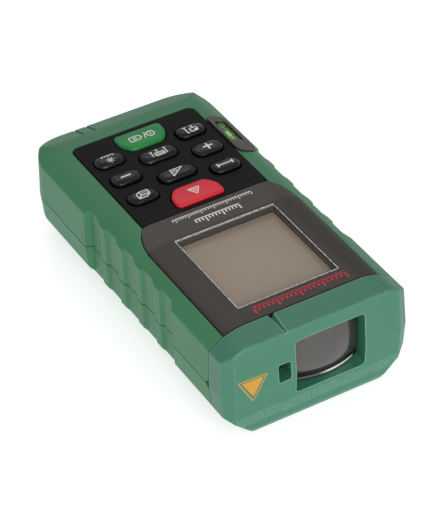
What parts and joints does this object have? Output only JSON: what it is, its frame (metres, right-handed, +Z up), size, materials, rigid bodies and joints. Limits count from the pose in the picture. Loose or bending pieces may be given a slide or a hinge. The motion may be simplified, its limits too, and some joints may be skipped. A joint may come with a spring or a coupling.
{
  "type": "laser distance meter",
  "caption": "Pocket laser distance meter: two-part ribbed case with nose cap, keypad, display, spirit level, laser and receiving optics, sliding battery door.",
  "frame": {"origin": "middle of the meter's length and width, on the surface it lies on, underside down", "axes": "+Z up through the keypad; the optics look towards -Y and the tail is at +Y; +X is the side with the spirit level"},
  "size_m": [0.0576, 0.116, 0.0325],
  "materials": {
    "green_shell": "fine spark texture, satin",
    "green_cap": "fine spark texture, satin",
    "black_rubber": "matt",
    "black_panel": "satin",
    "dark_bezel": "semi-gloss",
    "clear_window": "clear, polished",
    "black_plastic": "matt",
    "display_glass": "warm grey reflective display",
    "vial_clear": "clear",
    "vial_green": "clear green spirit",
    "bubble_clear": "clear",
    "lens_glass": "coated",
    "steel": "plain",
    "brass": "turned",
    "circuit_board": "solder mask",
    "silver_label": "satin, blank",
    "cell_jacket": "printed sleeve, left plain",
    "green_key": "satin",
    "red_key": "satin",
    "black_key": "satin"
  },
  "bodies": {
    "housing": {"upper_housing": "green_shell", "lower_housing": "green_shell", "front_cap": "green_cap", "cap_gasket": "black_rubber", "keypad_panel": "black_panel", "display_bezel": "dark_bezel", "display_window": "clear_window", "lcd_frame": "black_plastic", "lcd_panel": "display_glass", "lcd_connector": "black_rubber", "vial_housing": "black_plastic", "vial_tube": "vial_clear", "vial_plugs": "black_plastic", "vial_fluid": "vial_green", "receiver_lens": "lens_glass", "lens_ring": "black_plastic", "photodiode": "steel", "receiver_board": "circuit_board", "laser_module": "brass", "collimator_lens": "lens_glass", "optical_chassis": "black_plastic", "main_board": "circuit_board", "dome_switches": "steel", "board_chips": "black_plastic", "buzzer": "black_plastic", "board_screws": "steel", "housing_screws": "steel", "rating_plate": "silver_label", "battery_cell_left": "cell_jacket", "battery_cell_middle": "cell_jacket", "battery_cell_right": "cell_jacket", "battery_springs": "steel", "battery_contacts": "steel"},
    "power_key": {"power_key": "green_key"},
    "measure_key": {"measure_key": "red_key"},
    "unit_key": {"unit_key": "black_key"},
    "minus_key": {"minus_key": "black_key"},
    "volume_key": {"volume_key": "black_key"},
    "area_key": {"area_key": "black_key"},
    "plus_key": {"plus_key": "black_key"},
    "length_key": {"length_key": "black_key"},
    "indirect_key": {"indirect_key": "black_key"},
    "triangle_key": {"triangle_key": "black_key"},
    "battery_door": {"battery_door": "green_shell"},
    "vial_bubble": {"vial_bubble": "bubble_clear"}
  },
  "joints": [
    {"name": "power_key_press", "type": "slide", "parent": "housing", "child": "power_key", "axis": [0, 0, -1], "range_m": [0, 0.0006], "stiffness_N_per_m": 300, "springref_m": -0.001},
    {"name": "measure_key_press", "type": "slide", "parent": "housing", "child": "measure_key", "axis": [0, 0, -1], "range_m": [0, 0.0006], "stiffness_N_per_m": 300, "springref_m": -0.001},
    {"name": "unit_key_press", "type": "slide", "parent": "housing", "child": "unit_key", "axis": [0, 0, -1], "range_m": [0, 0.0006], "stiffness_N_per_m": 300, "springref_m": -0.001},
    {"name": "minus_key_press", "type": "slide", "parent": "housing", "child": "minus_key", "axis": [0, 0, -1], "range_m": [0, 0.0006], "stiffness_N_per_m": 300, "springref_m": -0.001},
    {"name": "volume_key_press", "type": "slide", "parent": "housing", "child": "volume_key", "axis": [0, 0, -1], "range_m": [0, 0.0006], "stiffness_N_per_m": 300, "springref_m": -0.001},
    {"name": "area_key_press", "type": "slide", "parent": "housing", "child": "area_key", "axis": [0, 0, -1], "range_m": [0, 0.0006], "stiffness_N_per_m": 300, "springref_m": -0.001},
    {"name": "plus_key_press", "type": "slide", "parent": "housing", "child": "plus_key", "axis": [0, 0, -1], "range_m": [0, 0.0006], "stiffness_N_per_m": 300, "springref_m": -0.001},
    {"name": "length_key_press", "type": "slide", "parent": "housing", "child": "length_key", "axis": [0, 0, -1], "range_m": [0, 0.0006], "stiffness_N_per_m": 300, "springref_m": -0.001},
    {"name": "indirect_key_press", "type": "slide", "parent": "housing", "child": "indirect_key", "axis": [0, 0, -1], "range_m": [0, 0.0006], "stiffness_N_per_m": 300, "springref_m": -0.001},
    {"name": "triangle_key_press", "type": "slide", "parent": "housing", "child": "triangle_key", "axis": [0, 0, -1], "range_m": [0, 0.0006], "stiffness_N_per_m": 300, "springref_m": -0.001},
    {"name": "battery_door_slide", "type": "slide", "parent": "housing", "child": "battery_door", "axis": [0, 1, 0], "range_m": [0, 0.05]},
    {"name": "bubble_drift", "type": "slide", "parent": "housing", "child": "vial_bubble", "axis": [0, 1, 0], "range_m": [-0.0025, 0.0025]}
  ]
}
